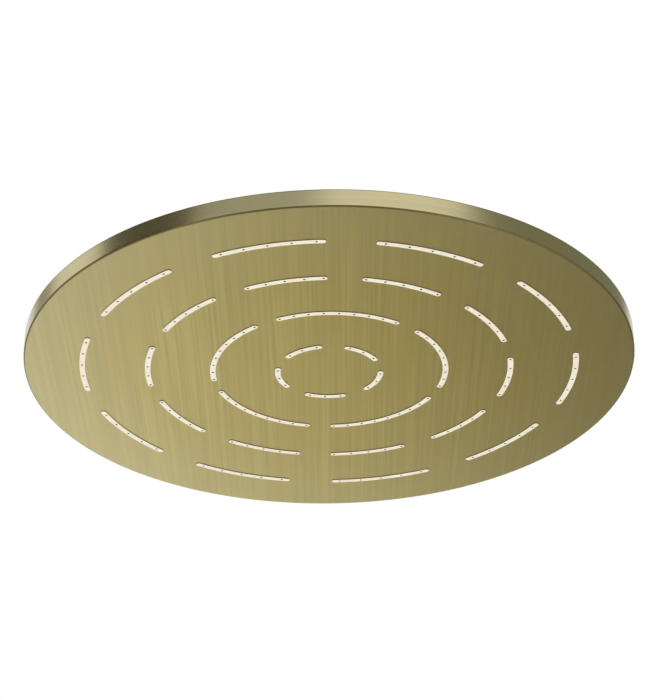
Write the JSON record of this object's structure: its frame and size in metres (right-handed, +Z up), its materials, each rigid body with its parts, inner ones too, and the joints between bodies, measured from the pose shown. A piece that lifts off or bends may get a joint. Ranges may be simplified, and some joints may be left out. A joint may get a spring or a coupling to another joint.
{
  "type": "rain shower head",
  "caption": "Thin round overhead rain shower head in brushed antique gold, with rings of soft arc-shaped nozzle strips and a ball joint inlet on its back.",
  "frame": {"origin": "on the water axis where the inlet thread begins, 1 mm inside the inlet's upper face", "axes": "+Z up along the water axis, out of the inlet's mouth; the spray face points to -Z; -Y is the front, where the second ring has the middle of a strip"},
  "size_m": [0.3, 0.3, 0.0542],
  "materials": {
    "brushed_shell": "stainless steel sheet, hairline brushed and coated antique gold",
    "brushed_fitting": "turned brass, brushed antique gold",
    "plain_steel": "plain stainless steel",
    "soft_nozzle": "cream silicone, matt",
    "seal_rubber": "black rubber",
    "slip_plastic": "white acetal",
    "regulator_plastic": "grey moulded plastic"
  },
  "bodies": {
    "inlet": {"ball_inlet": "brushed_fitting", "inlet_washer": "seal_rubber", "inlet_screen": "plain_steel", "flow_regulator": "regulator_plastic"},
    "swivel_seal": {"ball_seal": "seal_rubber"},
    "head": {"inlet_neck": "brushed_fitting", "slip_ring": "slip_plastic", "collar_nut": "brushed_fitting", "back_cover": "brushed_shell", "face_pan": "brushed_shell", "stay_posts": "plain_steel", "nozzle_strip_1_1": "soft_nozzle", "nozzle_strip_1_2": "soft_nozzle", "nozzle_strip_1_3": "soft_nozzle", "nozzle_strip_1_4": "soft_nozzle", "nozzle_strip_1_5": "soft_nozzle", "nozzle_strip_2_1": "soft_nozzle", "nozzle_strip_2_2": "soft_nozzle", "nozzle_strip_2_3": "soft_nozzle", "nozzle_strip_2_4": "soft_nozzle", "nozzle_strip_2_5": "soft_nozzle", "nozzle_strip_3_1": "soft_nozzle", "nozzle_strip_3_2": "soft_nozzle", "nozzle_strip_3_3": "soft_nozzle", "nozzle_strip_3_4": "soft_nozzle", "nozzle_strip_3_5": "soft_nozzle", "nozzle_strip_3_6": "soft_nozzle", "nozzle_strip_3_7": "soft_nozzle", "nozzle_strip_3_8": "soft_nozzle", "nozzle_strip_3_9": "soft_nozzle", "nozzle_strip_3_10": "soft_nozzle", "nozzle_strip_4_1": "soft_nozzle", "nozzle_strip_4_2": "soft_nozzle", "nozzle_strip_4_3": "soft_nozzle", "nozzle_strip_4_4": "soft_nozzle", "nozzle_strip_4_5": "soft_nozzle", "nozzle_strip_4_6": "soft_nozzle", "nozzle_strip_4_7": "soft_nozzle", "nozzle_strip_4_8": "soft_nozzle", "nozzle_strip_4_9": "soft_nozzle", "nozzle_strip_4_10": "soft_nozzle"}
  },
  "joints": [
    {"name": "swivel_turn", "type": "hinge", "parent": "inlet", "child": "swivel_seal", "pos_m": [0, 0, -0.03079], "axis": [0, 0, 1], "continuous": true},
    {"name": "swivel_tilt", "type": "hinge", "parent": "swivel_seal", "child": "head", "pos_m": [0, 0, -0.03079], "axis": [1, 0, 0], "range_deg": [-15, 15]}
  ]
}
